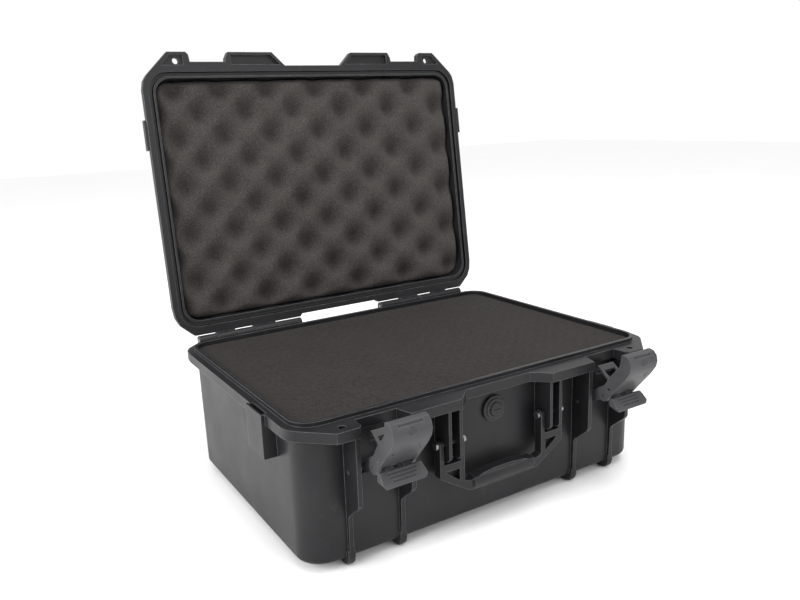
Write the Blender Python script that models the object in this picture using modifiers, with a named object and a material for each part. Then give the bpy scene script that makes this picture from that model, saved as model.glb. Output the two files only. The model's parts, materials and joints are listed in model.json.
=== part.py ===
"""A hard equipment case: moulded tub and lid on two long hinges, draw latches, folding handle, purge valve and foam.

Units are metres, +Z is up, the front with the latches faces -Y. The origin lies on the tub's underside, under
the middle of the rim, and the feet reach below it. The case stands open: everything on the lid hangs from one empty on the hinge axis.
"""

import math

import bmesh
import bpy
from mathutils import Matrix

# ---- driving dimensions -------------------------------------------------------------------------------------
GAP = 0.0003  # running gap between neighbouring pieces
PARTING_Z = 0.1305  # height of the plane where tub and lid meet
TOP_Z = 0.1785  # top of the closed lid
HALF_WIDTH = 0.210  # rim, half of its width
HALF_DEPTH = 0.150  # rim, half of its depth without ears and latch tabs
TAB_Y = -0.1655  # front of the ears and tabs that stand out of the rim
WALL = 0.0035
LID_OPEN = math.radians(97.0)  # how far the lid stands open
HINGE_Y = 0.1595
HINGE_Z = PARTING_Z

TUB_FLANGE = 0.0095  # height of the tub's rim flange
LID_FLANGE = 0.0077
TUB_INSET = 0.0090  # tub wall inside the rim's edge, just below the flange
TUB_DRAFT = 0.0012  # further inset at the floor
LID_INSET = 0.0105
LID_DRAFT = 0.0050
TUB_CORNER = 0.025
FOOT_HEIGHT = 0.0080  # the ribs' feet stand out this far under the floor
LIP_INSET = 0.0073  # raised lip of the tub, measured from the rim's edge
LIP_WIDTH = 0.0032
LIP_HEIGHT = 0.0038
RIM_CORNER = 0.024

LATCH_X = 0.1324  # middle of each latch
BAY_HALF = 0.0246  # half the space between the two ribs of a latch
RIB = 0.0043
LATCH_PIN = (-0.148, 0.0850)  # y, z of the pin through the ribs
LATCH_PIN_R = 0.0020
BAIL_PIN = (-0.1796, 0.1044)
TRIGGER_PIN = (-0.1716, 0.0955)
SMALL_PIN_R = 0.0014
LEVER_HALF = 0.0185
CHEEK = 0.0030
BAIL_TILT = math.radians(55.3)  # lean of the bail from upright
BAIL_HALF = 0.0105
BAIL_LENGTH = 0.0284
STRIKE_Y = -0.1545  # front of the lid between its tabs and ears, where the latches hook on
STRIKE_HEIGHT = 0.0022
NOTCH_Y = -0.1487  # front of the tub under the strikes, clear of the swinging hook frames

HANDLE_PIN = (-0.1525, 0.0860)
HANDLE_PIN_R = 0.0022
INNER_RAIL_X = (0.0465, 0.0505)
OUTER_RAIL_X = (0.0695, 0.0735)
BRACKET_X = ((0.0525, 0.0555), (0.0645, 0.0675))

VALVE_Z = 0.1010
VALVE_Y = -HALF_DEPTH + TUB_INSET + TUB_DRAFT * (1 - VALVE_Z / (PARTING_Z - TUB_FLANGE))  # outer face of the wall
HINGE_R = 0.0055
HINGE_PIN_R = 0.0020
TUB_KNUCKLES = ((0.0570, 0.0885), (0.1190, 0.1400), (0.1650, 0.1860))
LID_KNUCKLES = ((0.0895, 0.1180), (0.1410, 0.1640))
PADLOCK_HOLE = (0.1690, -0.1560, 0.0035)  # x, y, radius
SIDE_BLOCK_Y = (-0.093, -0.058)
SIDE_BLOCK_X = 0.2137

# ---- scene --------------------------------------------------------------------------------------------------
for old in list(bpy.data.objects):
    bpy.data.objects.remove(old, do_unlink=True)


def new_collection(name, parent=None):
    made = bpy.data.collections.new(name)
    (parent or bpy.context.scene.collection).children.link(made)
    return made


case = new_collection("equipment_case")
helpers = new_collection("helpers")
helpers.hide_render = True


def material(name, colour, roughness, metallic=0.0):
    made = bpy.data.materials.new(name)
    made.use_nodes = True
    shader = made.node_tree.nodes["Principled BSDF"]
    shader.inputs["Base Color"].default_value = (*colour, 1.0)
    shader.inputs["Roughness"].default_value = roughness
    shader.inputs["Metallic"].default_value = metallic
    return made


SHELL = material("shell_plastic", (0.022, 0.022, 0.024), 0.45)
LATCH = material("latch_plastic", (0.075, 0.077, 0.080), 0.50)
STEEL = material("steel_pin", (0.55, 0.55, 0.56), 0.30, 1.0)
RUBBER = material("seal_rubber", (0.015, 0.015, 0.015), 0.80)
FOAM = material("foam", (0.035, 0.033, 0.032), 1.0)


# ---- modelling helpers --------------------------------------------------------------------------------------
def mesh_object(name, bm, look, collection=case):
    bmesh.ops.recalc_face_normals(bm, faces=bm.faces)
    if bm.calc_volume(signed=True) < 0:
        bmesh.ops.reverse_faces(bm, faces=bm.faces)
    mesh = bpy.data.meshes.new(name)
    bm.to_mesh(mesh)
    bm.free()
    made = bpy.data.objects.new(name, mesh)
    if look:
        mesh.materials.append(look)
    collection.objects.link(made)
    if collection is not case:
        made.hide_render = True
        made.display_type = "WIRE"
    return made


def prism(name, outline, start, end, axis, look=None, collection=case):
    """The outline pushed from start to end: it lies in xy for axis Z, in yz for axis X and in xz for axis Y."""
    place = {
        "Z": lambda a, b: (a, b, start),
        "X": lambda a, b: (start, a, b),
        "Y": lambda a, b: (a, start, b),
    }[axis]
    step = {"Z": (0, 0, end - start), "X": (end - start, 0, 0), "Y": (0, end - start, 0)}[axis]
    bm = bmesh.new()
    face = bm.faces.new([bm.verts.new(place(a, b)) for a, b in outline])
    pushed = bmesh.ops.extrude_face_region(bm, geom=[face])
    moved = [part for part in pushed["geom"] if isinstance(part, bmesh.types.BMVert)]
    bmesh.ops.translate(bm, verts=moved, vec=step)
    return mesh_object(name, bm, look, collection)


def loft(name, sections, look=None, collection=case):
    """A closed solid through level rings of equal point counts, given as (height, points) from low to high."""
    bm = bmesh.new()
    rings = [[bm.verts.new((x, y, z)) for x, y in points] for z, points in sections]
    bm.faces.new(rings[0])
    bm.faces.new(rings[-1])
    for low, high in zip(rings, rings[1:]):
        for i in range(len(low)):
            j = (i + 1) % len(low)
            bm.faces.new((low[i], low[j], high[j], high[i]))
    return mesh_object(name, bm, look, collection)


def ring_prism(name, outer, inner, low, high, look=None, collection=case):
    """A flat ring between two outlines of equal point counts."""
    bm = bmesh.new()
    loops = [(outer, low), (outer, high), (inner, high), (inner, low)]
    rings = [[bm.verts.new((x, y, z)) for x, y in points] for points, z in loops]
    for ring, following in zip(rings, rings[1:] + rings[:1]):
        for i in range(len(ring)):
            j = (i + 1) % len(ring)
            bm.faces.new((ring[i], ring[j], following[j], following[i]))
    return mesh_object(name, bm, look, collection)


def rod(name, radius, start, end, centre, axis="X", look=None, collection=case, sides=20):
    """A cylinder along an axis from start to end; centre holds its other two coordinates."""
    bm = bmesh.new()
    bmesh.ops.create_cone(bm, cap_ends=True, segments=sides, radius1=radius, radius2=radius, depth=end - start)
    turn = {"X": Matrix.Rotation(math.pi / 2, 4, "Y"), "Y": Matrix.Rotation(math.pi / 2, 4, "X"), "Z": Matrix()}[axis]
    middle = (start + end) / 2
    spot = {
        "X": (middle, centre[0], centre[1]),
        "Y": (centre[0], middle, centre[1]),
        "Z": (centre[0], centre[1], middle),
    }[axis]
    bm.transform(Matrix.Translation(spot) @ turn)
    return mesh_object(name, bm, look, collection)


def box(name, low, high, look=None, collection=case):
    bm = bmesh.new()
    bmesh.ops.create_cube(bm, size=1.0)
    size = [b - a for a, b in zip(low, high)]
    middle = [(a + b) / 2 for a, b in zip(low, high)]
    bm.transform(Matrix.Translation(middle) @ Matrix.Diagonal((*size, 1.0)))
    return mesh_object(name, bm, look, collection)


def rounded_rectangle(half_x, half_y, radius, steps=6, middle=(0.0, 0.0)):
    points = []
    for quarter, (sx, sy) in enumerate(((1, 1), (-1, 1), (-1, -1), (1, -1))):
        for i in range(steps + 1):
            angle = math.radians(90 * quarter + 90 * i / steps)
            points.append(
                (
                    middle[0] + sx * (half_x - radius) + radius * math.cos(angle),
                    middle[1] + sy * (half_y - radius) + radius * math.sin(angle),
                )
            )
    return points


def arc(centre, radius, start, end, steps):
    """Points on an arc, angles in degrees from the first coordinate towards the second."""
    angles = [math.radians(start + (end - start) * i / steps) for i in range(steps + 1)]
    return [(centre[0] + radius * math.cos(a), centre[1] + radius * math.sin(a)) for a in angles]


def mirrored(points):
    """An outline's right half, from front to back, closed by its mirror image on the left."""
    return points + [(-x, y) for x, y in reversed(points)]


def boolean(target, operation, pieces):
    """One Boolean on a group of helper pieces, which are kept as wires."""
    group = new_collection(f"{target.name}_{operation.lower()}", helpers)
    for piece in pieces:
        for owner in list(piece.users_collection):
            owner.objects.unlink(piece)
        group.objects.link(piece)
        piece.hide_render = True
        piece.display_type = "WIRE"
    group.hide_render = True
    modifier = target.modifiers.new(operation.title(), "BOOLEAN")
    modifier.operation = operation
    modifier.operand_type = "COLLECTION"
    modifier.collection = group
    modifier.solver = "EXACT"


def round_edges(made, width, steps=2):
    bevel = made.modifiers.new("Round", "BEVEL")
    bevel.width = width
    bevel.segments = steps
    bevel.limit_method = "ANGLE"
    bevel.angle_limit = math.radians(40)


def smooth(*objects):
    for made in objects:
        made.data.shade_smooth()
        made.data.set_sharp_from_angle(angle=math.radians(35))


# ---- outlines shared by tub and lid ---------------------------------------------------------------------------
def rim_outline(strike_y):
    """The rim seen from above: corner ears, tabs beside the handle, and strike_y as the edge between them."""
    back = HINGE_Y - HINGE_R - 0.0008
    return mirrored(
        [
            (0.0380, -HALF_DEPTH),
            (0.0535, TAB_Y),
            (0.1080, TAB_Y),
            (0.1115, strike_y - 0.0045),
            (0.1120, strike_y),
            (0.1535, strike_y),
            (0.1545, TAB_Y + 0.0030),
            (0.1575, TAB_Y),
            (0.1785, TAB_Y),
            (0.2040, -0.1405),
            (0.2080, -0.1345),
            (HALF_WIDTH, -0.1250),
            (HALF_WIDTH, 0.1180),
            (0.2085, 0.1300),
            (0.2040, 0.1395),
            (0.1890, back),
            (0.0560, back),
            (0.0535, HALF_DEPTH),
        ]
    )


def inset_rectangle(inset, radius, steps=6):
    return rounded_rectangle(HALF_WIDTH - inset, HALF_DEPTH - inset, radius, steps)


def tub_section(inset, radius):
    return inset_rectangle(inset, radius, 7)


# ---- tub --------------------------------------------------------------------------------------------------------
def tub_inset_at(z):
    """Inset of the tub wall's outer face at a height."""
    return TUB_INSET + TUB_DRAFT * (1 - z / (PARTING_Z - TUB_FLANGE))


def make_tub():
    floor_r = 0.0045
    under = PARTING_Z - TUB_FLANGE
    rings = [
        (
            floor_r * (1 - math.cos(math.pi / 2 * i / 4)),
            tub_section(
                tub_inset_at(0) + floor_r * (1 - math.sin(math.pi / 2 * i / 4)),
                TUB_CORNER - 0.6 * floor_r * (1 - math.sin(math.pi / 2 * i / 4)),
            ),
        )
        for i in range(5)
    ]
    rings.append((under + 0.003, tub_section(tub_inset_at(under), TUB_CORNER)))
    tub = loft("base_shell", rings, SHELL)

    adds = [prism("tub_flange", rim_outline(NOTCH_Y), under, PARTING_Z, "Z", collection=helpers)]
    lip = inset_rectangle(LIP_INSET, RIM_CORNER - 0.002)
    adds.append(prism("tub_lip", lip, under + 0.004, PARTING_Z + LIP_HEIGHT, "Z", collection=helpers))
    for side in (-1, 1):
        adds += latch_ribs(side) + handle_brackets(side) + side_block(side) + tub_hinge(side)
    boolean(tub, "UNION", adds)

    cuts = [tub_cavity()]
    opening = inset_rectangle(LIP_INSET + LIP_WIDTH, RIM_CORNER - 0.005)
    cuts.append(prism("tub_opening", opening, under + 0.0025, PARTING_Z + 0.02, "Z", collection=helpers))
    for side in (-1, 1):
        x, y, radius = PADLOCK_HOLE
        cuts.append(rod("padlock_hole", radius, under - 0.01, PARTING_Z + 0.01, (side * x, y), "Z", collection=helpers))
        middle = side * LATCH_X
        reach = BAY_HALF + RIB + 0.01
        cuts.append(
            rod("latch_pin_hole", LATCH_PIN_R + GAP, middle - reach, middle + reach, LATCH_PIN, collection=helpers)
        )
        ends = sorted((side * 0.045, side * 0.075))
        cuts.append(rod("handle_pin_hole", HANDLE_PIN_R + GAP, *ends, HANDLE_PIN, collection=helpers))
        ends = sorted((side * 0.050, side * 0.1875))
        cuts.append(rod("hinge_hole", HINGE_PIN_R + GAP, *ends, (HINGE_Y, HINGE_Z), collection=helpers))
        low_x, high_x = sorted((side * (SIDE_BLOCK_X - 0.0062), side * (SIDE_BLOCK_X - 0.0018)))
        cuts.append(
            box(
                "side_pocket",
                (low_x, SIDE_BLOCK_Y[0] + 0.0025, PARTING_Z - 0.012),
                (high_x, SIDE_BLOCK_Y[1] - 0.0025, PARTING_Z + 0.01),
                collection=helpers,
            )
        )
    cuts.append(rod("valve_hole", 0.0079, VALVE_Y - 0.01, VALVE_Y + 0.01, (0.0, VALVE_Z), "Y", collection=helpers))
    boolean(tub, "DIFFERENCE", cuts)
    smooth(tub)
    return tub


def tub_cavity():
    under = PARTING_Z - TUB_FLANGE
    inner = [
        (WALL, tub_section(tub_inset_at(0) + WALL + 0.006, TUB_CORNER - 0.008)),
        (WALL + 0.002, tub_section(tub_inset_at(0) + WALL + 0.002, TUB_CORNER - 0.005)),
        (WALL + 0.006, tub_section(tub_inset_at(0) + WALL, TUB_CORNER - 0.0035)),
        (under + 0.006, tub_section(tub_inset_at(under) + WALL, TUB_CORNER - 0.0035)),
    ]
    return loft("tub_cavity", inner, collection=helpers)


def wall_y(z, depth=0.0018):
    """A plane inside the front wall that ribs reach into."""
    return -HALF_DEPTH + tub_inset_at(z) + depth


def latch_ribs(side):
    """The two deep ribs of a latch bay, each running down to a rounded foot, with a like foot at the back."""
    made = []
    top = PARTING_Z - TUB_FLANGE + 0.003
    profile = [
        (-0.1640, top),
        (-0.1632, 0.0600),
        (-0.1612, 0.0562),
        (-0.1452, 0.0428),
        (-0.1437, 0.0395),
        (-0.1430, 0.0060),
        (wall_y(0.0) + 0.003, 0.0006),
        (wall_y(0.009), 0.0090),
        (wall_y(top), top),
    ]
    foot = [
        (-0.1430, 0.0080),
        (-0.1434, 0.0020),
        (-0.1420, -0.0032),
        (-0.1385, -0.0066),
        (-0.1340, -FOOT_HEIGHT),
        (-0.1270, -FOOT_HEIGHT),
        (-0.1225, -0.0064),
        (-0.1205, -0.0025),
        (-0.1200, 0.0020),
        (wall_y(0.0) + 0.006, 0.0020),
        (wall_y(0.008), 0.0080),
    ]
    for inner in (BAY_HALF, -BAY_HALF - RIB):
        start = side * LATCH_X + inner
        made.append(prism("latch_rib", profile, start, start + RIB, "X", collection=helpers))
        for outline in (foot, [(-y, z) for y, z in foot]):
            made.append(prism("rib_foot", outline, start - 0.0016, start + RIB + 0.0016, "X", collection=helpers))
            round_edges(made[-1], 0.0014)
    return made


def handle_brackets(side):
    top = PARTING_Z - TUB_FLANGE + 0.003
    profile = [
        (-0.1630, top),
        (-0.1630, 0.0750),
        (-0.1590, 0.0710),
        (-0.1480, 0.0710),
        (wall_y(0.060), 0.0600),
        (wall_y(top), top),
    ]
    made = []
    for low, high in BRACKET_X:
        start, end = sorted((side * low, side * high))
        made.append(prism("handle_bracket", profile, start, end, "X", collection=helpers))
    return made


def side_block(side):
    """The hollow boss on each side wall that takes the lid's side tab."""
    wall_x = HALF_WIDTH - TUB_INSET - 0.0015
    outline = [
        (side * SIDE_BLOCK_X, PARTING_Z),
        (side * SIDE_BLOCK_X, 0.0905),
        (side * (SIDE_BLOCK_X - 0.0010), 0.0895),
        (side * (wall_x - 0.0005), 0.0895),
        (side * wall_x, PARTING_Z),
    ]
    return [prism("side_block", outline, *SIDE_BLOCK_Y, "Y", collection=helpers)]


def tub_hinge(side):
    made = []
    web = [
        (HALF_DEPTH - 0.006, PARTING_Z - 0.001),
        (HALF_DEPTH - 0.006, PARTING_Z - TUB_FLANGE + 0.0005),
        (0.1545, PARTING_Z - TUB_FLANGE + 0.0005),
        (HINGE_Y + 0.0040, HINGE_Z - 0.0036),
        (HINGE_Y, HINGE_Z - 0.0010),
    ]
    for low, high in TUB_KNUCKLES:
        start, end = sorted((side * low, side * high))
        made.append(rod("tub_knuckle", HINGE_R, start, end, (HINGE_Y, HINGE_Z), collection=helpers, sides=16))
        made.append(prism("tub_knuckle_web", web, start, end, "X", collection=helpers))
    return made


# ---- lid --------------------------------------------------------------------------------------------------------
def on_lid(made):
    """Hangs a piece that was modelled in the closed position from the hinge empty, which holds the lid open."""
    helper_pieces = [piece for modifier in made.modifiers for piece in modifier.collection.objects]
    for piece in [made, *helper_pieces]:
        piece.parent = lid_axis
        piece.matrix_parent_inverse = Matrix.Translation((0, -HINGE_Y, -HINGE_Z))
    return made


def make_lid():
    low = PARTING_Z + GAP
    top = low + LID_FLANGE
    crown_r = 0.010
    rings = [(top - 0.003, inset_rectangle(LID_INSET, RIM_CORNER - 0.004, 7))]
    for i in range(5):
        angle = math.pi / 2 * i / 4
        inset = LID_INSET + LID_DRAFT + crown_r * (1 - math.cos(angle))
        rings.append((TOP_Z - crown_r * (1 - math.sin(angle)), inset_rectangle(inset, RIM_CORNER - 0.004, 7)))
    lid = loft("lid_shell", rings, SHELL)

    adds = [prism("lid_flange", rim_outline(STRIKE_Y), low, top, "Z", collection=helpers)]
    for side in (-1, 1):
        adds += lid_hinge(side) + side_tab(side) + strike(side, top)
    boolean(lid, "UNION", adds)

    cavity = [
        (low - 0.01, inset_rectangle(LID_INSET + 0.0028, 0.0185, 7)),
        (top, inset_rectangle(LID_INSET + 0.0030, 0.0185, 7)),
        (TOP_Z - WALL - 0.006, inset_rectangle(LID_INSET + LID_DRAFT + 0.0030, 0.0185, 7)),
        (TOP_Z - WALL - 0.002, inset_rectangle(LID_INSET + LID_DRAFT + 0.0050, 0.0185, 7)),
        (TOP_Z - WALL, inset_rectangle(LID_INSET + LID_DRAFT + 0.0090, 0.0185, 7)),
    ]
    cuts = [loft("lid_cavity", cavity, collection=helpers)]
    groove_out = inset_rectangle(LIP_INSET - 0.0008, RIM_CORNER - 0.0012)
    groove_in = inset_rectangle(LIP_INSET + LIP_WIDTH + 0.0008, RIM_CORNER - 0.0058)
    cuts.append(ring_prism("lid_groove", groove_out, groove_in, low - 0.005, low + 0.0058, collection=helpers))
    for side in (-1, 1):
        cuts += lid_pockets(side, low) + strike_pocket(side, top)
        x, y, radius = PADLOCK_HOLE
        cuts.append(rod("padlock_hole", radius, low - 0.01, top + 0.01, (side * x, y), "Z", collection=helpers))
        ends = sorted((side * 0.050, side * 0.1875))
        cuts.append(rod("hinge_hole", HINGE_PIN_R + GAP, *ends, (HINGE_Y, HINGE_Z), collection=helpers))
    boolean(lid, "DIFFERENCE", cuts)
    smooth(lid)
    return on_lid(lid)


def strike(side, top):
    """The raised edge that a latch's bail hooks over."""
    start, end = sorted((side * 0.1130, side * 0.1525))
    low, high = (start, STRIKE_Y, top - 0.001), (end, STRIKE_Y + 0.0028, top + STRIKE_HEIGHT)
    return [box("strike", low, high, collection=helpers)]


def strike_pocket(side, top):
    start, end = sorted((side * 0.1150, side * 0.1500))
    low, high = (start, STRIKE_Y + 0.0028, top - 0.0025), (end, STRIKE_Y + 0.0098, top + 0.010)
    return [box("strike_pocket", low, high, collection=helpers)]


def lid_pockets(side, low):
    """Hollows on the parting side of the tabs and the ears."""
    tab = [(side * x, y) for x, y in ((0.1050, -0.1515), (0.1050, -0.1625), (0.0555, -0.1625), (0.0440, -0.1515))]
    corners = ((0.1615, -0.1510), (0.1615, -0.1622), (0.1765, -0.1622), (0.1850, -0.1525), (0.1850, -0.1510))
    ear = [(side * x, y) for x, y in corners]
    return [
        prism("tab_pocket", tab, low - 0.004, low + 0.0050, "Z", collection=helpers),
        prism("ear_pocket", ear, low - 0.004, low + 0.0030, "Z", collection=helpers),
    ]


def side_tab(side):
    start, end = sorted((side * (HALF_WIDTH - 0.004), side * (SIDE_BLOCK_X - 0.0003)))
    return [
        box(
            "side_tab",
            (start, SIDE_BLOCK_Y[0] + 0.001, PARTING_Z + GAP + 0.0004),
            (end, SIDE_BLOCK_Y[1] - 0.001, PARTING_Z + GAP + LID_FLANGE - 0.0006),
            collection=helpers,
        )
    ]


def lid_hinge(side):
    made = []
    web = [
        (HALF_DEPTH - 0.006, PARTING_Z + 0.0008),
        (HINGE_Y - 0.0005, PARTING_Z + 0.0008),
        (HINGE_Y + 0.0036, PARTING_Z + 0.0041),
        (HALF_DEPTH - 0.006, PARTING_Z + LID_FLANGE - 0.0006),
    ]
    for low, high in LID_KNUCKLES:
        start, end = sorted((side * low, side * high))
        made.append(rod("lid_knuckle", HINGE_R, start, end, (HINGE_Y, HINGE_Z), collection=helpers, sides=16))
        made.append(prism("lid_knuckle_web", web, start, end, "X", collection=helpers))
    return made


def make_gasket():
    low = PARTING_Z + LIP_HEIGHT + GAP + 0.0002
    outer = inset_rectangle(LIP_INSET - 0.0004, RIM_CORNER - 0.0016)
    inner = inset_rectangle(LIP_INSET + LIP_WIDTH + 0.0004, RIM_CORNER - 0.0054)
    return on_lid(ring_prism("lid_gasket", outer, inner, low, PARTING_Z + GAP + 0.0058 - GAP, RUBBER))


def make_lid_foam():
    inset = LID_INSET + LID_DRAFT + 0.0036
    low = PARTING_Z + 0.0010
    rings = [
        (low, inset_rectangle(LID_INSET + 0.0036, 0.0175)),
        (TOP_Z - WALL - 0.0090, inset_rectangle(inset, 0.0175)),
        (TOP_Z - WALL - 0.0008, inset_rectangle(inset + 0.0080, 0.0175)),
    ]
    return on_lid(loft("lid_foam", rings, FOAM))


# ---- foam in the tub ----------------------------------------------------------------------------------------------
def foam_outline(z):
    return tub_section(tub_inset_at(z) + WALL + 0.0010, TUB_CORNER - 0.0045)


def make_base_foam():
    """A floor pad, a lower layer and an upper layer whose edge spreads over the ledge inside the rim."""
    pad_top = 0.0160
    split = 0.0700
    ledge = PARTING_Z - TUB_FLANGE + 0.0025 + 0.0004
    top = PARTING_Z - 0.0002
    shift = tub_section(tub_inset_at(0) + WALL + 0.0075, TUB_CORNER - 0.009)
    pad = loft("base_foam_pad", [(WALL + 0.0005, shift), (0.0105, foam_outline(0)), (pad_top, foam_outline(0))], FOAM)
    lower = loft("base_foam_lower", [(pad_top + 0.0005, foam_outline(pad_top)), (split, foam_outline(split))], FOAM)
    spread = inset_rectangle(LIP_INSET + LIP_WIDTH + 0.0008, RIM_CORNER - 0.006, 7)
    upper = loft(
        "base_foam_upper",
        [(split + 0.0005, foam_outline(split)), (ledge, foam_outline(ledge)), (ledge + 0.0001, spread), (top, spread)],
        FOAM,
    )
    notch = rod("valve_nut_room", 0.0135, -0.150, VALVE_Y + 0.0130, (0.0, VALVE_Z), "Y", collection=helpers)
    boolean(upper, "DIFFERENCE", [notch])


# ---- latches --------------------------------------------------------------------------------------------------------
def lever_skin(outset):
    """The lever's curved front in y and z from its top to its lower edge, moved in by outset."""
    points = [
        (-0.1960, 0.1437),
        (-0.2010, 0.1425),
        (-0.2044, 0.1390),
        (-0.2058, 0.1335),
        (-0.2045, 0.1273),
        (-0.1990, 0.1190),
        (-0.1915, 0.1100),
        (-0.1848, 0.1020),
    ]
    middle = (-0.1800, 0.1225)
    moved = []
    for y, z in points:
        span = math.hypot(y - middle[0], z - middle[1])
        scale = 1 - outset / span
        moved.append((middle[0] + (y - middle[0]) * scale, middle[1] + (z - middle[1]) * scale))
    return moved


def make_latch(side, suffix):
    middle = side * LATCH_X
    cheek = lever_skin(0.0) + [
        (-0.1800, 0.0960),
        (-0.1765, 0.0913),
        (-0.1722, 0.0898),
        (-0.1680, 0.0911),
        (-0.1660, 0.0950),
        (-0.1668, 0.1005),
        (-0.1745, 0.1085),
        (-0.1800, 0.1175),
        (-0.1920, 0.1310),
        (-0.1937, 0.1430),
    ]
    lever = prism(f"latch_lever_{suffix}", cheek, middle - LEVER_HALF, middle + LEVER_HALF, "X", LATCH)
    hollow = lever_skin(0.0030)[1:] + [
        (-0.1820, 0.0975),
        (-0.1775, 0.0835),
        (-0.1560, 0.0835),
        (-0.1560, 0.1045),
        (-0.1740, 0.1185),
        (-0.1860, 0.1375),
        (-0.1860, 0.1445),
        (-0.1925, 0.1445),
    ]
    inside = LEVER_HALF - CHEEK
    cutter = prism("lever_hollow", hollow, middle - inside, middle + inside, "X", collection=helpers)
    boolean(lever, "DIFFERENCE", [cutter])

    arms = []
    arm = arc(LATCH_PIN, 0.0046, -150, 30, 8) + [(-0.1660, 0.1030), (-0.1760, 0.1055), (-0.1740, 0.0925)]
    for low, high in ((-inside - 0.0010, -inside + 0.0030), (inside - 0.0030, inside + 0.0010)):
        arms.append(prism("lever_arm", arm, middle + low, middle + high, "X", collection=helpers))
    boolean(lever, "UNION", arms)
    reach = LEVER_HALF + 0.005
    holes = [
        rod("lever_hole", LATCH_PIN_R + GAP, middle - reach, middle + reach, LATCH_PIN, collection=helpers),
        rod("bail_pin_hole", SMALL_PIN_R + GAP, middle - reach, middle + reach, BAIL_PIN, collection=helpers, sides=12),
        rod(
            "trigger_pin_hole", SMALL_PIN_R + GAP, middle - reach, middle + reach, TRIGGER_PIN, collection=helpers, sides=12
        ),
    ]
    boolean(lever, "DIFFERENCE", holes)
    smooth(lever)

    make_bail(middle, suffix)
    make_trigger(middle, suffix)
    ribs = BAY_HALF + RIB + 0.0006
    pins = [
        rod(f"latch_pin_{suffix}", LATCH_PIN_R, middle - ribs, middle + ribs, LATCH_PIN, look=STEEL),
        rod(f"bail_pin_{suffix}", SMALL_PIN_R, middle - LEVER_HALF, middle + LEVER_HALF, BAIL_PIN, look=STEEL, sides=12),
        rod(
            f"trigger_pin_{suffix}", SMALL_PIN_R, middle - LEVER_HALF, middle + LEVER_HALF, TRIGGER_PIN, look=STEEL, sides=12
        ),
    ]
    smooth(*pins)


def along_bail(u, v):
    """A point u along the bail and v towards the case, in y and z."""
    s, c = math.sin(BAIL_TILT), math.cos(BAIL_TILT)
    return (BAIL_PIN[0] + u * s + v * c, BAIL_PIN[1] + u * c - v * s)


def make_bail(middle, suffix):
    """A rectangular frame on the bail pin, with a lip along its free bar that hooks over the lid's rim."""
    half = 0.0013
    under = BAIL_LENGTH - 0.0026
    hook = (
        (0.0, -half),
        (BAIL_LENGTH - 0.0010, -half),
        (BAIL_LENGTH, -half + 0.0010),
        (BAIL_LENGTH, 0.0075),
        (BAIL_LENGTH - 0.0010, 0.0083),
        (under - 0.0022, 0.0083),
        (under - 0.0022, 0.0062),
        (under, 0.0059),
        (under, half + 0.0006),
        (under - 0.0006, half),
        (0.0, half),
    )
    side_view = [along_bail(*point) for point in hook]
    bail = prism(f"latch_bail_{suffix}", side_view, middle - BAIL_HALF, middle + BAIL_HALF, "X", LATCH)
    boss = rod("bail_boss", 0.0028, middle - BAIL_HALF, middle + BAIL_HALF, BAIL_PIN, collection=helpers, sides=16)
    boolean(bail, "UNION", [boss])
    far = BAIL_LENGTH - 0.0075
    window = [along_bail(*point) for point in ((-0.006, -0.008), (far, -0.008), (far, 0.008), (-0.006, 0.008))]
    inside = BAIL_HALF - 0.0028
    cuts = [
        prism("bail_window", window, middle - inside, middle + inside, "X", collection=helpers),
        rod("bail_hole", SMALL_PIN_R + GAP, middle - 0.02, middle + 0.02, BAIL_PIN, collection=helpers, sides=12),
    ]
    boolean(bail, "DIFFERENCE", cuts)
    smooth(bail)


def make_trigger(middle, suffix):
    """The flared pull tab, with two hub rings on its pin."""
    tab = [
        (-0.1815, 0.0950),
        (-0.1850, 0.0962),
        (-0.1885, 0.0932),
        (-0.1930, 0.0883),
        (-0.1938, 0.0857),
        (-0.1915, 0.0840),
        (-0.1885, 0.0853),
        (-0.1830, 0.0900),
    ]
    front = [
        (middle - 0.0190, 0.1005),
        (middle - 0.0215, 0.0890),
        (middle - 0.0165, 0.0825),
        (middle + 0.0165, 0.0825),
        (middle + 0.0215, 0.0890),
        (middle + 0.0190, 0.1005),
    ]
    trigger = prism(f"latch_trigger_{suffix}", tab, middle - 0.0225, middle + 0.0225, "X", LATCH)
    trim = prism("trigger_trim", front, -0.200, -0.178, "Y", collection=helpers)
    boolean(trigger, "INTERSECT", [trim])
    inside = LEVER_HALF - CHEEK - 0.0030 - 0.0006
    neck = [(-0.1716, 0.0925), (-0.1716, 0.0985), (-0.1840, 0.0957), (-0.1840, 0.0905)]
    adds = []
    for low, high in ((-inside, -0.0045), (0.0045, inside)):
        adds.append(rod("trigger_hub", 0.0033, middle + low, middle + high, TRIGGER_PIN, collection=helpers, sides=16))
        adds.append(prism("trigger_neck", neck, middle + low, middle + high, "X", collection=helpers))
    boolean(trigger, "UNION", adds)
    hole = rod("trigger_hole", SMALL_PIN_R + GAP, middle - 0.02, middle + 0.02, TRIGGER_PIN, collection=helpers, sides=12)
    boolean(trigger, "DIFFERENCE", [hole])
    smooth(trigger)
    make_spring(middle, suffix)


def make_spring(middle, suffix):
    """A torsion spring of a few turns round the trigger pin, between the two hubs."""
    turns, per_turn, reach, radius = 4, 10, 0.0030, 0.0024
    curve = bpy.data.curves.new(f"trigger_spring_{suffix}", "CURVE")
    curve.dimensions = "3D"
    curve.bevel_depth = 0.00035
    curve.bevel_resolution = 1
    curve.use_fill_caps = True
    count = turns * per_turn + 1
    spline = curve.splines.new("POLY")
    spline.points.add(count - 1)
    for i, point in enumerate(spline.points):
        angle = 2 * math.pi * i / per_turn
        x = middle - reach + 2 * reach * i / (count - 1)
        point.co = (x, TRIGGER_PIN[0] + radius * math.cos(angle), TRIGGER_PIN[1] + radius * math.sin(angle), 1)
    curve.materials.append(STEEL)
    case.objects.link(bpy.data.objects.new(curve.name, curve))


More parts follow.
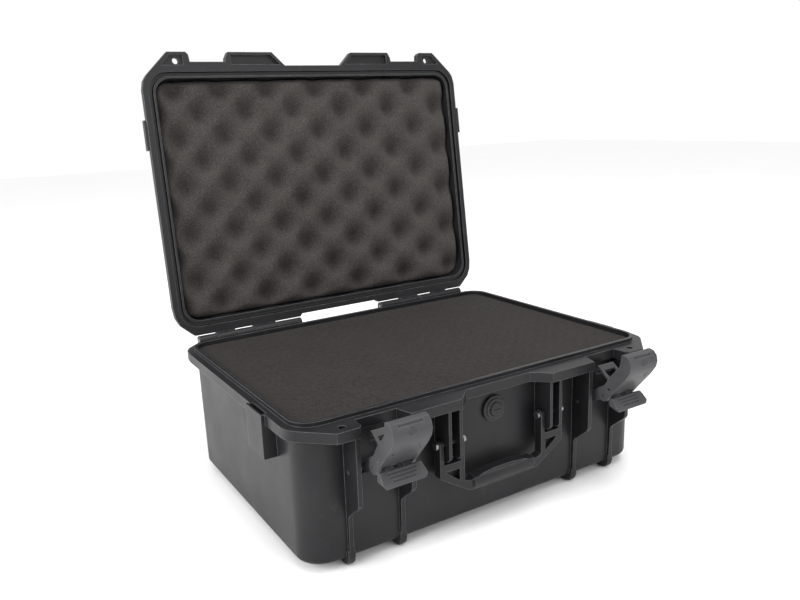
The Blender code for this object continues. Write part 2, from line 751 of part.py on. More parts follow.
# ---- handle ---------------------------------------------------------------------------------------------------------
def make_handle():
    """Two forked arms that straddle the brackets, joined by an arched grip."""
    half = [
        (0.0000, 0.0497),
        (0.0120, 0.0493),
        (0.0240, 0.0479),
        (0.0340, 0.0455),
        (0.0400, 0.0443),
        (0.0465, 0.0465),
        (0.0465, 0.0675),
        (0.0735, 0.0675),
        (0.0735, 0.0560),
        (0.0725, 0.0545),
        (0.0430, 0.0363),
        (0.0380, 0.0347),
        (0.0000, 0.0340),
    ]
    outline = half + [(-x, z) for x, z in reversed(half[1:-1])]
    handle = prism("carry_handle", outline, -0.1570, -0.1480, "Y", SHELL)
    adds = []
    grip = [
        (-0.1570, 0.0355),
        (-0.1590, 0.0385),
        (-0.1595, 0.0425),
        (-0.1580, 0.0460),
        (-0.1560, 0.0470),
        (-0.1485, 0.0470),
        (-0.1462, 0.0445),
        (-0.1455, 0.0405),
        (-0.1470, 0.0365),
        (-0.1490, 0.0350),
    ]
    adds.append(prism("grip", grip, -0.0360, 0.0360, "X", collection=helpers))
    rail = arc(HANDLE_PIN, 0.0045, 180, 0, 8) + [(-0.1480, 0.0625), (-0.1570, 0.0625)]
    for side in (-1, 1):
        for low, high in (INNER_RAIL_X, OUTER_RAIL_X):
            start, end = sorted((side * low, side * high))
            adds.append(prism("rail", rail, start, end, "X", collection=helpers))
    boolean(handle, "UNION", adds)
    cuts = []
    for side in (-1, 1):
        pocket = [(side * x, z) for x, z in ((0.0520, 0.0605), (0.0680, 0.0605), (0.0520, 0.0485))]
        cuts.append(prism("arm_pocket", pocket, -0.165, -0.1510, "Y", collection=helpers))
        ends = sorted((side * 0.040, side * 0.080))
        cuts.append(rod("handle_bore", HANDLE_PIN_R + GAP, *ends, HANDLE_PIN, collection=helpers))
    boolean(handle, "DIFFERENCE", cuts)
    smooth(handle)
    for side, suffix in ((-1, "left"), (1, "right")):
        pin = rod(f"handle_pin_{suffix}", HANDLE_PIN_R, *sorted((side * 0.0440, side * 0.0760)), HANDLE_PIN, look=STEEL)
        heads = []
        for low, high in ((0.0435, 0.0461), (0.0739, 0.0765)):
            heads.append(
                rod("pin_head", 0.0036, *sorted((side * low, side * high)), HANDLE_PIN, collection=helpers)
            )
        boolean(pin, "UNION", heads)
        smooth(pin)


# ---- purge valve ------------------------------------------------------------------------------------------------------
def turned(name, profile, look):
    """A body of revolution about the valve's axis: profile holds (radius, depth behind the wall's face), front to back."""
    bm = bmesh.new()
    line = [bm.verts.new((radius, 0.0, -y)) for radius, y in profile]
    for a, b in zip(line, line[1:]):
        bm.edges.new((a, b))
    mesh = bpy.data.meshes.new(name)
    bm.to_mesh(mesh)
    bm.free()
    made = bpy.data.objects.new(name, mesh)
    mesh.materials.append(look)
    case.objects.link(made)
    made.location = (0.0, VALVE_Y, VALVE_Z)
    made.rotation_euler = (math.pi / 2, 0.0, 0.0)
    screw = made.modifiers.new("Turn", "SCREW")
    screw.axis = "Z"
    screw.steps = 28
    screw.render_steps = 28
    screw.use_merge_vertices = True
    screw.merge_threshold = 0.00001
    screw.use_smooth_shade = False
    return made


def make_valve():
    body = [
        (0.0072, -0.0048),
        (0.0098, -0.0048),
        (0.0104, -0.0042),
        (0.0104, -0.0032),
        (0.0122, -0.0032),
        (0.0130, -0.0025),
        (0.0130, -0.0016),
        (0.0076, -0.0016),
        (0.0076, 0.0115),
        (0.0030, 0.0115),
        (0.0030, -0.0022),
        (0.0072, -0.0022),
        (0.0072, -0.0048),
    ]
    turned("valve_body", body, SHELL)
    seal = [(0.0079, -0.0013), (0.0116, -0.0013), (0.0116, -0.0004), (0.0079, -0.0004), (0.0079, -0.0013)]
    turned("valve_seal", seal, RUBBER)
    shape = [
        (0.0000, -0.0064),
        (0.0058, -0.0064),
        (0.0068, -0.0057),
        (0.0068, -0.0025),
        (0.0026, -0.0025),
        (0.0026, 0.0065),
        (0.0000, 0.0065),
    ]
    knob = turned("valve_knob", shape, SHELL)
    front = VALVE_Y - 0.0064
    low = (-0.0045, front - 0.001, VALVE_Z - 0.0008)
    high = (0.0045, front + 0.0014, VALVE_Z + 0.0008)
    boolean(knob, "DIFFERENCE", [box("knob_slot", low, high, collection=helpers)])
    nut = rod("valve_nut", 0.0118, VALVE_Y + 0.0040, VALVE_Y + 0.0072, (0.0, VALVE_Z), "Y", SHELL, sides=6)
    bore = rod("nut_bore", 0.0079, VALVE_Y, VALVE_Y + 0.02, (0.0, VALVE_Z), "Y", collection=helpers)
    boolean(nut, "DIFFERENCE", [bore])


# ---- assembly -----------------------------------------------------------------------------------------------------------
lid_axis = bpy.data.objects.new("lid_axis", None)
case.objects.link(lid_axis)
lid_axis.location = (0.0, HINGE_Y, HINGE_Z)
lid_axis.rotation_euler = (-LID_OPEN, 0.0, 0.0)

make_tub()
make_lid()
make_gasket()
make_lid_foam()
make_base_foam()
for side, suffix in ((-1, "left"), (1, "right")):
    make_latch(side, suffix)
    start, end = sorted((side * TUB_KNUCKLES[0][0], side * TUB_KNUCKLES[-1][1]))
    smooth(rod(f"hinge_pin_{suffix}", HINGE_PIN_R, start, end, (HINGE_Y, HINGE_Z), look=STEEL))
make_handle()
make_valve()
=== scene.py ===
"""The hard equipment case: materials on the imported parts, foam, latch detail, stage, lights and camera."""

import json
import math

import bmesh
import bpy
from mathutils import Matrix, Vector, noise


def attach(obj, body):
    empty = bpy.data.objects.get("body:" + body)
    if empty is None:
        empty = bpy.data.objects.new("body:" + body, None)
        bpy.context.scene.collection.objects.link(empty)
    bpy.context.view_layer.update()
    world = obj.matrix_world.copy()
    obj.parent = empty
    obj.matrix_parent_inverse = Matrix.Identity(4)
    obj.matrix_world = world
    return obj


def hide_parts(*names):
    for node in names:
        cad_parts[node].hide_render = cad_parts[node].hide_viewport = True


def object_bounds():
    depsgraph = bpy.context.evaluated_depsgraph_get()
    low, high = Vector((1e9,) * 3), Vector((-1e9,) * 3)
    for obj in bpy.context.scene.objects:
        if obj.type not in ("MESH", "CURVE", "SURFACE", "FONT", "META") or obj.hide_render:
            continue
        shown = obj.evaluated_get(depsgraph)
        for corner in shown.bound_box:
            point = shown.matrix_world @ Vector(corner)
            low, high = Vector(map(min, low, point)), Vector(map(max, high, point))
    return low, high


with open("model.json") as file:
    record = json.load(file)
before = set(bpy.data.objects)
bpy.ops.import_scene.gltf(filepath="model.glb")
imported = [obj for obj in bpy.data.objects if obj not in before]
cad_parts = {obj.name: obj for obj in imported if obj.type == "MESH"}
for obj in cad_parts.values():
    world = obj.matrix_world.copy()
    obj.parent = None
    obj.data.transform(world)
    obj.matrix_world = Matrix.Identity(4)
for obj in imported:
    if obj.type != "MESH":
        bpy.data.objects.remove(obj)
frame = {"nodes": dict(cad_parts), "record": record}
CAD_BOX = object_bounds()

JOINTS = {joint["name"]: joint for joint in frame["record"]["behaviour"]["joints"]}
HINGE = Vector(JOINTS["lid_hinge"]["pos_m"])
LID_OPEN = math.radians(JOINTS["lid_hinge"]["range_deg"][1])
PARTING_Z = HINGE.z
WELD_DISTANCE = 0.00001
SMOOTH_UP_TO = math.radians(32)
LID_TURN = Matrix.Translation(HINGE) @ Matrix.Rotation(-LID_OPEN, 4, "X") @ Matrix.Translation(-HINGE)


# ---- shader building ----
class Shader:
    """A Principled material with helpers that add and link nodes."""

    def __init__(self, name, **sockets):
        self.material = bpy.data.materials.new(name)
        self.material.use_nodes = True
        self.tree = self.material.node_tree
        self.principled = self.tree.nodes["Principled BSDF"]
        for socket, value in sockets.items():
            self.principled.inputs[socket.replace("_", " ")].default_value = value
        self.place = self.add("ShaderNodeTexCoord").outputs["Object"]

    def add(self, kind, **settings):
        node = self.tree.nodes.new(kind)
        for key, value in settings.items():
            if hasattr(node, key):
                setattr(node, key, value)
            else:
                node.inputs[key.replace("_", " ")].default_value = value
        return node

    def link(self, source, target):
        self.tree.links.new(source, target)

    def noise(self, scale, detail=3.0, roughness=0.55, stretch=None):
        node = self.add("ShaderNodeTexNoise", Scale=scale, Detail=detail, Roughness=roughness)
        place = self.place
        if stretch:
            mapping = self.add("ShaderNodeMapping")
            mapping.inputs["Scale"].default_value = stretch
            self.link(place, mapping.inputs["Vector"])
            place = mapping.outputs["Vector"]
        self.link(place, node.inputs["Vector"])
        return node.outputs["Fac"]

    def ramp(self, value, low, high, start=0.0, end=1.0):
        """The value with low to high mapped onto start to end, and clamped there."""
        node = self.add("ShaderNodeMapRange")
        for socket, number in (("From Min", low), ("From Max", high), ("To Min", start), ("To Max", end)):
            node.inputs[socket].default_value = number
        self.link(value, node.inputs["Value"])
        return node.outputs["Result"]

    def blend(self, factor, first, second):
        """The first colour turning into the second as the factor goes from 0 to 1."""
        node = self.add("ShaderNodeMix", data_type="RGBA")
        for index, colour in ((6, first), (7, second)):
            if isinstance(colour, tuple):
                node.inputs[index].default_value = (*colour, 1.0)
            else:
                self.link(colour, node.inputs[index])
        if isinstance(factor, float):
            node.inputs[0].default_value = factor
        else:
            self.link(factor, node.inputs[0])
        return node.outputs[2]

    def math(self, operation, first, second):
        node = self.add("ShaderNodeMath", operation=operation)
        for index, value in ((0, first), (1, second)):
            if isinstance(value, float):
                node.inputs[index].default_value = value
            else:
                self.link(value, node.inputs[index])
        return node.outputs[0]

    def round_normal(self, radius):
        """The normal, rounded over sharp edges."""
        bevel = self.add("ShaderNodeBevel", samples=6)
        bevel.inputs["Radius"].default_value = radius
        return bevel.outputs["Normal"]

    def edge_mask(self, rounded):
        """1 on sharp edges, where the rounded normal leans away from the face's own, and 0 on flat faces."""
        flat = self.add("ShaderNodeNewGeometry").outputs["Normal"]
        dot = self.add("ShaderNodeVectorMath", operation="DOT_PRODUCT")
        self.link(rounded, dot.inputs[0])
        self.link(flat, dot.inputs[1])
        return self.ramp(dot.outputs["Value"], 0.995, 0.90)

    def bump(self, layers, normal=None):
        """Bumps chained one on another: each layer is (height, depth in metres)."""
        for height, depth in layers:
            node = self.add("ShaderNodeBump", Strength=1.0, Distance=depth)
            self.link(height, node.inputs["Height"])
            if normal is not None:
                self.link(normal, node.inputs["Normal"])
            normal = node.outputs["Normal"]
        self.link(normal, self.principled.inputs["Normal"])

    def finish(self, colour, roughness):
        self.link(colour, self.principled.inputs["Base Color"])
        self.link(roughness, self.principled.inputs["Roughness"])
        return self.material


def moulded_plastic(name, dark, light, edge, roughness, grain, radius):
    """Polymer from a textured mould: fine grain, mottling, scuffs, and edges lighter and smoother, partly
    rubbed wear and partly a painted highlight.
    """
    look = Shader(name, IOR=1.48, Specular_IOR_Level=0.24)
    normal = look.round_normal(radius)
    mottle = look.noise(scale=24.0, detail=4.0)
    fine = look.noise(scale=2600.0, detail=2.0, roughness=0.6)
    streaks = look.noise(scale=60.0, detail=6.0, roughness=0.7, stretch=(1.0, 7.0, 1.0))
    scuffs = look.math("MULTIPLY", look.ramp(streaks, 0.60, 0.72), 0.10)
    colour = look.blend(look.ramp(mottle, 0.35, 0.65), dark, light)
    colour = look.blend(scuffs, colour, edge)
    patches = look.ramp(look.noise(scale=85.0, detail=5.0, roughness=0.65), 0.35, 0.60, 0.35, 0.95)
    # Sharp edges lighten towards the edge tone: partly rubbed wear, partly a painted highlight along the
    # rims.
    edge_wear_and_highlight = look.math("MULTIPLY", look.edge_mask(normal), patches)
    colour = look.blend(edge_wear_and_highlight, colour, edge)
    matt = look.ramp(mottle, 0.3, 0.7, roughness - 0.05, roughness + 0.05)
    polished = look.math("MULTIPLY", edge_wear_and_highlight, 0.12)
    look.bump(((fine, grain), (mottle, 0.00010)), normal)
    return look.finish(colour, look.math("SUBTRACT", matt, polished))


def brushed_steel(name):
    """Drawn pins, streaked along their length."""
    look = Shader(name, Metallic=1.0)
    drawn = look.noise(scale=700.0, detail=4.0, roughness=0.6, stretch=(0.08, 1.0, 1.0))
    colour = look.blend(look.ramp(drawn, 0.3, 0.7), (0.16, 0.16, 0.165), (0.30, 0.30, 0.31))
    look.bump(((drawn, 0.00002),), look.round_normal(0.0003))
    return look.finish(colour, look.ramp(drawn, 0.3, 0.7, 0.24, 0.42))


def seal_rubber(name):
    """Soft black rubber with a faint pale bloom."""
    look = Shader(name, IOR=1.52)
    bloom = look.noise(scale=180.0, detail=5.0)
    colour = look.blend(look.ramp(bloom, 0.35, 0.7), (0.010, 0.010, 0.011), (0.026, 0.026, 0.027))
    look.bump(((look.noise(scale=1800.0, detail=3.0), 0.00002),), look.round_normal(0.0004))
    return look.finish(colour, look.ramp(bloom, 0.3, 0.7, 0.62, 0.80))


def open_cell_foam(name, dark, light, speck, sheen):
    """Open-cell foam: cells about a millimetre across, with pale walls, and painted shade darkening the
    pores.
    """
    look = Shader(name, Sheen_Weight=sheen, Sheen_Roughness=0.5, Specular_IOR_Level=0.15)
    cells = look.add("ShaderNodeTexVoronoi", feature="F1", Scale=950.0)
    look.link(look.place, cells.inputs["Vector"])
    walls = look.ramp(cells.outputs["Distance"], 0.12, 0.55)
    grain = look.noise(scale=780.0, detail=4.0, roughness=0.7)
    drift = look.noise(scale=16.0, detail=4.0)
    colour = look.blend(look.ramp(drift, 0.3, 0.7), dark, light)
    colour = look.blend(look.ramp(grain, 0.42, 0.68, 0.0, 0.85), colour, speck)
    # Painted shade: the middles of the cells are darkened towards black, as shade inside the pores.
    colour = look.blend(look.ramp(walls, 0.0, 0.45, 0.55, 0.0), colour, (0.004, 0.004, 0.004))
    look.bump(((grain, 0.00045), (walls, 0.00025)))
    return look.finish(colour, look.ramp(grain, 0.3, 0.7, 0.86, 1.0))


# One look for each material slot of the record.
LOOKS = {
    "shell": moulded_plastic(
        "moulded_shell",
        dark=(0.009, 0.009, 0.0102),
        light=(0.013, 0.013, 0.0143),
        # edge: tone of the scuffs and of the lightened edges; on the edges it is partly wear, partly a
        # painted highlight.
        edge=(0.135, 0.135, 0.140),
        roughness=0.40,
        grain=0.000022,
        radius=0.0008,
    ),
    "latch": moulded_plastic(
        "moulded_latch",
        dark=(0.040, 0.040, 0.042),
        light=(0.052, 0.052, 0.055),
        edge=(0.150, 0.150, 0.155),
        # edge: tone of the scuffs and of the lightened edges; on the edges it is partly wear, partly a
        # painted highlight.
        roughness=0.45,
        grain=0.000018,
        radius=0.0006,
    ),
    "steel": brushed_steel("drawn_steel"),
    "seal": seal_rubber("seal_rubber"),
    "foam": open_cell_foam(
        "cut_foam",
        dark=(0.011, 0.0095, 0.009),
        light=(0.015, 0.013, 0.0125),
        speck=(0.042, 0.037, 0.035),
        sheen=0.02,
    ),
}
CONVOLUTED = open_cell_foam(
    "convoluted_foam",
    dark=(0.026, 0.022, 0.0205),
    light=(0.036, 0.032, 0.030),
    speck=(0.084, 0.075, 0.071),
    sheen=0.04,
)


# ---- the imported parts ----
def tidy_normals():
    """A node group that joins a mesh's split corners and shades it smooth but for its sharp edges."""
    tree = bpy.data.node_groups.new("tidy_normals", "GeometryNodeTree")
    tree.interface.new_socket("Geometry", in_out="INPUT", socket_type="NodeSocketGeometry")
    tree.interface.new_socket("Geometry", in_out="OUTPUT", socket_type="NodeSocketGeometry")
    nodes, links = tree.nodes, tree.links
    start, end = nodes.new("NodeGroupInput"), nodes.new("NodeGroupOutput")
    forget = nodes.new("GeometryNodeRemoveAttribute")
    forget.inputs["Name"].default_value = "custom_normal"
    weld = nodes.new("GeometryNodeMergeByDistance")
    weld.inputs["Distance"].default_value = WELD_DISTANCE
    faces = nodes.new("GeometryNodeSetShadeSmooth")
    faces.domain = "FACE"
    faces.inputs["Shade Smooth"].default_value = True
    edges = nodes.new("GeometryNodeSetShadeSmooth")
    edges.domain = "EDGE"
    edges.inputs["Shade Smooth"].default_value = False
    angle = nodes.new("GeometryNodeInputMeshEdgeAngle")
    sharp = nodes.new("FunctionNodeCompare")
    sharp.data_type = "FLOAT"
    sharp.operation = "GREATER_THAN"
    sharp.inputs[1].default_value = SMOOTH_UP_TO
    links.new(angle.outputs["Unsigned Angle"], sharp.inputs[0])
    links.new(sharp.outputs[0], edges.inputs["Selection"])
    chain = (start, forget, weld, faces, edges, end)
    for first, second in zip(chain, chain[1:]):
        links.new(first.outputs[0], second.inputs[0])
    return tree


TIDY = tidy_normals()


def dress(piece, look):
    """Gives a piece its material and clean shading."""
    for material_slot in piece.material_slots:
        material_slot.link = "OBJECT"
        material_slot.material = look
    group = piece.modifiers.new("tidy_normals", "NODES")
    group.node_group = TIDY
    weighted = piece.modifiers.new("weighted_normals", "WEIGHTED_NORMAL")
    weighted.keep_sharp = True
    weighted.weight = 90


SLOT_OF = {part["node"]: part["material_slot"] for part in frame["record"]["subparts"]}
for node, piece in frame["nodes"].items():
    dress(piece, LOOKS[SLOT_OF[node]])


def new_piece(name, bm, look, body, node, smooth=True):
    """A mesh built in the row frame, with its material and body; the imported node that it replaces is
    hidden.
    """
    mesh = bpy.data.meshes.new(name)
    bm.to_mesh(mesh)
    bm.free()
    if smooth:
        mesh.shade_smooth()
    mesh.materials.append(look)
    made = bpy.data.objects.new(name, mesh)
    bpy.context.scene.collection.objects.link(made)
    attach(made, body)
    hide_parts(node)
    return made


# ---- foam ----
def rounded_place(x, y, half_x, half_y, corner):
    """Moves a point of a plain rectangle into one with round corners."""
    across, along = abs(x) - (half_x - corner), abs(y) - (half_y - corner)
    if across <= 0 or along <= 0:
        return x, y
    a, b = across / corner, along / corner
    across, along = corner * a * math.sqrt(1 - b * b / 2), corner * b * math.sqrt(1 - a * a / 2)
    return math.copysign(half_x - corner + across, x), math.copysign(half_y - corner + along, y)


def foam_block(xs, ys, corner, face_height, rings, slit=None):
    """A closed pad over the grid xs by ys.

    face_height(x, y, edge) shapes its face, where edge is the distance to the nearest side.
    rings, as (inset, height), run round its sides to its back, and slit(x, y) picks the cells that are cut.
    """
    half_x, half_y = xs[-1], ys[-1]
    bm = bmesh.new()
    grid = []
    for y in ys:
        row = []
        for x in xs:
            edge = min(half_x - abs(x), half_y - abs(y))
            px, py = rounded_place(x, y, half_x, half_y, corner)
            row.append(bm.verts.new((px, py, face_height(px, py, edge))))
        grid.append(row)
    cuts = []
    for j in range(len(ys) - 1):
        for i in range(len(xs) - 1):
            face = bm.faces.new((grid[j][i], grid[j][i + 1], grid[j + 1][i + 1], grid[j + 1][i]))
            if slit and slit((xs[i] + xs[i + 1]) / 2, (ys[j] + ys[j + 1]) / 2):
                cuts.append(face)
    add_sides(bm, grid, rings, half_x, half_y)
    bmesh.ops.recalc_face_normals(bm, faces=bm.faces)
    for region in slit_regions(cuts):
        deeper = bmesh.ops.extrude_face_region(bm, geom=region)
        down = [part for part in deeper["geom"] if isinstance(part, bmesh.types.BMVert)]
        bmesh.ops.translate(bm, verts=down, vec=(0.0, 0.0, -SLIT_DEPTH))
        bmesh.ops.delete(bm, geom=region, context="FACES_ONLY")
    return bm


def add_sides(bm, grid, rings, half_x, half_y):
    """The sides of a pad, ring under ring from its face's border, and its flat back."""
    right = [row[-1] for row in grid[1:]]
    left = [row[0] for row in grid[-2:0:-1]]
    border = grid[0] + right + grid[-1][-2::-1] + left
    above = border
    for inset, height in rings:
        ring = []
        for vert in border:
            x = vert.co.x * (half_x - inset) / half_x
            y = vert.co.y * (half_y - inset) / half_y
            ring.append(bm.verts.new((x, y, height)))
        for i in range(len(ring)):
            j = (i + 1) % len(ring)
            bm.faces.new((above[j], above[i], ring[i], ring[j]))
        above = ring
    bm.faces.new(above)


def slit_regions(cuts):
    """Groups of cut faces that share edges."""
    left, regions = set(cuts), []
    for seed in cuts:
        if seed not in left:
            continue
        left.discard(seed)
        region, reach = [], [seed]
        while reach:
            face = reach.pop()
            region.append(face)
            for edge in face.edges:
                for other in edge.link_faces:
                    if other in left:
                        left.discard(other)
                        reach.append(other)
        regions.append(region)
    return regions


def spread(half, step):
    """Grid lines from -half to half, about a step apart."""
    count = round(2 * half / step)
    return [-half + 2 * half * i / count for i in range(count + 1)]


def droop(edge, depth, reach):
    """How far a cut face falls away near the sides: depth at the side itself, nothing past reach."""
    return depth * max(0.0, 1 - edge / reach) ** 2


# The lid foam and the two pieces under the tub's upper foam have the same width and depth.
PAD_HALF = (0.1944, 0.1344)

# The dips of the convoluted face stand in a diagonal lattice, a little wider apart towards the right.
DIP_DEPTH = 0.0150
DIP_RADIUS = 0.0098
DIP_PITCH = (0.02635, 0.0273)
DIP_WIDENING = 0.00053
DIP_START = (-0.175, 0.122)
DIP_OVERLAP = 1.05
LID_FOAM_PEAKS = PARTING_Z + 0.0022
LID_FOAM_STEP = 0.0024
LID_FOAM_CORNER = 0.0160
LID_FOAM_SIDES = ((0.0, 0.1480), (0.0006, 0.1560), (0.0016, 0.1650), (0.0036, 0.1708), (0.0080, 0.1738))


def dip_places():
    """Centres of the dips, those just past the sides included."""
    places = []
    for row in range(-1, 11):
        for column in range(-1, 13):
            if (row + column) % 2:
                x = DIP_START[0] + DIP_PITCH[0] * column + DIP_WIDENING * column * column
                places.append((x, DIP_START[1] - DIP_PITCH[1] * row))
    return places


DIPS = dip_places()


def convoluted(x, y, edge):
    """Height of the lid foam's face while the lid is closed: peaks are lowest, dips reach up into the lid."""
    nearest = sorted((x - dip_x) ** 2 + (y - dip_y) ** 2 for dip_x, dip_y in DIPS)[:4]
    dip = sum(math.exp(-reach / (2 * DIP_RADIUS**2)) for reach in nearest)
    swell = 0.0012 * noise.noise(Vector((x, y, 3.0)) * 22) + 0.0005 * noise.noise(Vector((x, y, 9.0)) * 95)
    carve = DIP_DEPTH * min(dip, DIP_OVERLAP) + max(swell, -0.0006)
    return LID_FOAM_PEAKS + carve + droop(edge, depth=0.0050, reach=0.007)


def make_lid_foam():
    xs, ys = (spread(half, LID_FOAM_STEP) for half in PAD_HALF)
    bm = foam_block(xs, ys, LID_FOAM_CORNER, convoluted, LID_FOAM_SIDES)
    bm.transform(LID_TURN)
    foam = new_piece("lid_foam_convoluted", bm, CONVOLUTED, "lid", "lid_foam")


# The upper tub foam is slit into small square columns that can be plucked out.
SLIT_PITCH = 0.0150
SLIT_WIDTH = 0.00035
SLIT_DEPTH = 0.0040
SLIT_HALF_LENGTH = 0.0046
SLIT_FIELD = (0.184, 0.124)
UPPER_FOAM_HALF = (0.1985, 0.1385)
UPPER_FOAM_CORNER = 0.0170
UPPER_FOAM_FACE = PARTING_Z - 0.0006
# As (inset, height): the upper tub foam is widest at its top, and drawn in under that and at its foot.
UPPER_FOAM_SIDES = (
    (0.0, 0.1268),
    (0.0, 0.1240),
    (0.0060, 0.1238),
    (0.0110, 0.1180),
    (0.0110, 0.0740),
    (0.0135, 0.0710),
)
LOWER_FOAM_STEP = 0.0120
LOWER_FOAM_CORNER = 0.0190
EDGE_STRIP = 0.0015
PLAIN_MARGIN = 0.008
DASH_MARGIN = 0.003


def slit_lines(half):
    """Grid lines from -half to half: beside each slit, and where the slits of the other direction end."""
    lines = {-half, half, -half + EDGE_STRIP, half - EDGE_STRIP}
    count = int((half - PLAIN_MARGIN) / SLIT_PITCH)
    for i in range(-count - 1, count + 1):
        middle = (i + 0.5) * SLIT_PITCH
        for offset in (-SLIT_WIDTH / 2, SLIT_WIDTH / 2):
            if abs(middle) < half - PLAIN_MARGIN:
                lines.add(round(middle + offset, 6))
        for offset in (-SLIT_HALF_LENGTH, SLIT_HALF_LENGTH):
            if abs(i * SLIT_PITCH + offset) < half - DASH_MARGIN:
                lines.add(round(i * SLIT_PITCH + offset, 6))
    return sorted(lines)


def off_grid(value):
    """Distance from a value to the nearest whole number of slit pitches."""
    return abs(value / SLIT_PITCH - round(value / SLIT_PITCH)) * SLIT_PITCH


def is_slit(x, y):
    def on_line(value):
        return off_grid(value - SLIT_PITCH / 2) < SLIT_WIDTH * 0.45

    def within_length(value):
        return off_grid(value) < SLIT_HALF_LENGTH

    if abs(x) > SLIT_FIELD[0] or abs(y) > SLIT_FIELD[1]:
        return False
    return (on_line(x) and within_length(y)) or (on_line(y) and within_length(x))


def cut_face(x, y, edge):
    """The upper tub foam's face, just under the parting line."""
    ripple = 0.00022 * noise.noise(Vector((x, y, 1.0)) * 30)
    return UPPER_FOAM_FACE + ripple - droop(edge, depth=0.0016, reach=0.0016)


def plain_face(height):
    def face(x, y, edge):
        ripple = 0.0003 * noise.noise(Vector((x, y, height)) * 40)
        return height + ripple - droop(edge, depth=0.0020, reach=0.004)

    return face


def make_tub_foam():
    foam = LOOKS["foam"]
    xs, ys = (slit_lines(half) for half in UPPER_FOAM_HALF)
    bm = foam_block(xs, ys, UPPER_FOAM_CORNER, cut_face, UPPER_FOAM_SIDES, is_slit)
    upper = new_piece("tub_foam_upper", bm, foam, "base", "base_foam_upper", smooth=False)
    for name, node, low, high in (
        ("tub_foam_lower", "base_foam_lower", 0.0166, 0.0697),
        ("tub_foam_pad", "base_foam_pad", 0.0042, 0.0157),
    ):
        sides = ((0.0, high - 0.0040), (0.0, low + 0.0060), (0.0012, low + 0.0018), (0.0060, low))
        xs, ys = (spread(half, LOWER_FOAM_STEP) for half in PAD_HALF)
        bm = foam_block(xs, ys, LOWER_FOAM_CORNER, plain_face(high - 0.0004), sides)
        new_piece(name, bm, foam, "base", node)


make_lid_foam()
make_tub_foam()


# ---- latches with their moulded detail ----
LATCH_X = JOINTS["latch_right_swing"]["pos_m"][0]

# Each place is (y, z) while the latch is swung out, and each size runs along x, the width, first.
DISH_PLACE = (-0.2115, 0.1360)
DISH_RADIUS = 0.0080
RECESS_PLACE = (-0.2031, 0.1411)
RECESS_TILT = math.radians(45.8)
RECESS_SIZE = (0.0240, 0.0026, 0.0030)
# A wide roller takes a shallow hollow out of the lever's lower face: it stands off the face by a little less
# than its own radius, along the face's normal.
HOLLOW_FACE = (-0.1995, 0.1185)
HOLLOW_NORMAL = (-0.80, -0.60)
HOLLOW_STAND_OFF = 0.0288
HOLLOW_SIZE = (0.0205, 0.0300, 0.0300)
SLOT_OFFSET = 0.0130
SLOT_PLACE = (-0.19545, 0.1143)
SLOT_TILT = math.radians(-39.9)
SLOT_SIZE = (0.0013, 0.0034, 0.0120)
GROOVE_RADIUS = 0.0009
GROOVES = ((-0.1869, 0.0947, 0.026), (-0.1893, 0.0924, 0.025), (-0.1916, 0.0899, 0.022))


def cutter(make, place, size, tilt=0.0):
    """A temporary tool body: made at the origin in unit size, scaled, tilted about x, then placed."""
    bm = bmesh.new()
    make(bm)
    bm.transform(Matrix.Translation(place) @ Matrix.Rotation(tilt, 4, "X") @ Matrix.Diagonal((*size, 1.0)))
    mesh = bpy.data.meshes.new("tool")
    bm.to_mesh(mesh)
    bm.free()
    return bpy.data.objects.new("tool", mesh)


def ball(bm):
    bmesh.ops.create_uvsphere(bm, u_segments=40, v_segments=24, radius=1.0)


def block(bm):
    bmesh.ops.create_cube(bm, size=1.0)


def roller(bm):
    bmesh.ops.create_cone(bm, cap_ends=True, segments=64, radius1=1.0, radius2=1.0, depth=1.0)
    bm.transform(Matrix.Rotation(math.pi / 2, 4, "Y"))


def carved(node, tools):
    """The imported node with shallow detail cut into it, as one new mesh."""
    bm = bmesh.new()
    bm.from_mesh(frame["nodes"][node].data)
    bmesh.ops.remove_doubles(bm, verts=bm.verts, dist=WELD_DISTANCE)
    mesh = bpy.data.meshes.new("blank")
    bm.to_mesh(mesh)
    bm.free()
    blank = bpy.data.objects.new("blank", mesh)
    group = bpy.data.collections.new("tools")
    bpy.context.scene.collection.children.link(group)
    bpy.context.scene.collection.objects.link(blank)
    for tool in tools:
        group.objects.link(tool)
    cut = blank.modifiers.new("cut", "BOOLEAN")
    cut.operation = "DIFFERENCE"
    cut.operand_type = "COLLECTION"
    cut.collection = group
    cut.solver = "EXACT"
    bpy.context.view_layer.update()
    graph = bpy.context.evaluated_depsgraph_get()
    result = bmesh.new()
    result.from_mesh(bpy.data.meshes.new_from_object(blank.evaluated_get(graph), depsgraph=graph))
    for made in [blank, *tools]:
        bpy.data.objects.remove(made)
    bpy.data.collections.remove(group)
    return result


def lever_tools(middle):
    """A dish, an oblong recess and a slight hollow down the lever's middle, and a slot near each side."""
    hollow = [face + HOLLOW_STAND_OFF * lean for face, lean in zip(HOLLOW_FACE, HOLLOW_NORMAL)]
    tools = [
        cutter(ball, (middle, *DISH_PLACE), (DISH_RADIUS,) * 3),
        cutter(block, (middle, *RECESS_PLACE), RECESS_SIZE, RECESS_TILT),
        cutter(roller, (middle, *hollow), HOLLOW_SIZE),
    ]
    for offset in (-SLOT_OFFSET, SLOT_OFFSET):
        tools.append(cutter(block, (middle + offset, *SLOT_PLACE), SLOT_SIZE, SLOT_TILT))
    return tools


def trigger_tools(middle):
    """Grooves across the trigger's thumb pad."""
    return [cutter(roller, (middle, y, z), (width, GROOVE_RADIUS, GROOVE_RADIUS)) for y, z, width in GROOVES]


def detail_latch(middle, side):
    for part, body, node, tools in (
        ("lever", f"latch_{side}", f"latch_lever_{side}", lever_tools),
        ("trigger", f"trigger_{side}", f"latch_trigger_{side}", trigger_tools),
    ):
        bm = carved(node, tools(middle))
        made = new_piece(f"{part}_moulded_{side}", bm, LOOKS["latch"], body, node)
        dress(made, LOOKS["latch"])


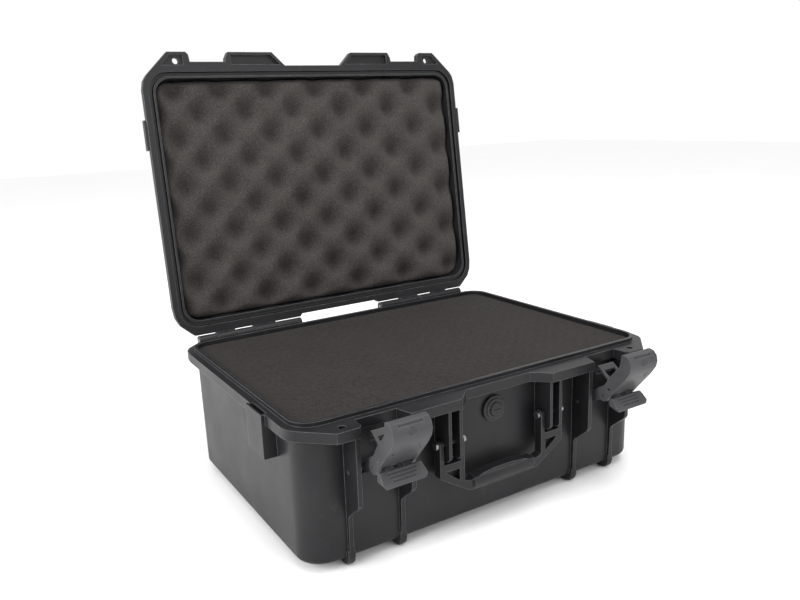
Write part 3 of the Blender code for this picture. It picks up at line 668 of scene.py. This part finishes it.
detail_latch(-LATCH_X, "left")
detail_latch(LATCH_X, "right")


# ---- stage, lights and camera ----
FLOOR_HALF = 6.0
FLOOR_GAP = 0.0002
LIT_POINT = Vector((0.0, 0.0, 0.1))
CAMERA_PLACE = Vector((-0.4275, -0.6643, 0.3768))
CAMERA_AHEAD = Vector((0.4996, 0.8371, -0.2229))
CAMERA_UP = Vector((0.1499, 0.1699, 0.9740))


def make_floor():
    look = Shader("floor_paper", Specular_IOR_Level=0.2)
    drift = look.noise(scale=3.0)
    colour = look.blend(drift, (0.93, 0.93, 0.93), (0.96, 0.96, 0.96))
    look.finish(colour, look.ramp(drift, 0.0, 1.0, 0.80, 0.90))
    bm = bmesh.new()
    bmesh.ops.create_grid(bm, x_segments=8, y_segments=8, size=FLOOR_HALF)
    mesh = bpy.data.meshes.new("floor")
    bm.to_mesh(mesh)
    bm.free()
    mesh.materials.append(look.material)
    floor = bpy.data.objects.new("floor", mesh)
    floor.location.z = CAD_BOX[0].z - FLOOR_GAP
    bpy.context.scene.collection.objects.link(floor)


def area_light(name, place, size, watts):
    """A round soft light, turned towards the case."""
    light = bpy.data.lights.new(name, "AREA")
    light.shape = "DISK"
    light.size = size
    light.energy = watts
    made = bpy.data.objects.new(name, light)
    made.location = place
    made.rotation_euler = (LIT_POINT - Vector(place)).to_track_quat("-Z", "Y").to_euler()
    bpy.context.scene.collection.objects.link(made)


def make_lights():
    world = bpy.data.worlds.new("studio")
    world.use_nodes = True
    background = world.node_tree.nodes["Background"]
    background.inputs["Color"].default_value = (1.0, 1.0, 1.0, 1.0)
    background.inputs["Strength"].default_value = 1.0
    bpy.context.scene.world = world
    area_light("left_softbox", (-1.7, -0.2, 0.9), size=1.1, watts=26.0)
    area_light("top_softbox", (0.1, -0.3, 1.9), size=1.3, watts=22.0)
    area_light("front_softbox", (0.6, -2.0, 1.0), size=1.0, watts=9.0)


def make_camera():
    camera = bpy.data.cameras.new("camera")
    camera.lens = 33.856
    camera.sensor_width = 36.0
    camera.shift_x = 0.02064
    camera.shift_y = -0.01804
    camera.clip_start = 0.01
    made = bpy.data.objects.new("camera", camera)
    turn = Matrix((CAMERA_AHEAD.cross(CAMERA_UP), CAMERA_UP, -CAMERA_AHEAD)).transposed()
    made.matrix_world = Matrix.Translation(CAMERA_PLACE) @ turn.to_4x4()
    bpy.context.scene.collection.objects.link(made)
    bpy.context.scene.camera = made


make_floor()
make_lights()
make_camera()
bpy.context.scene.view_settings.view_transform = "Standard"

bpy.context.view_layer.update()
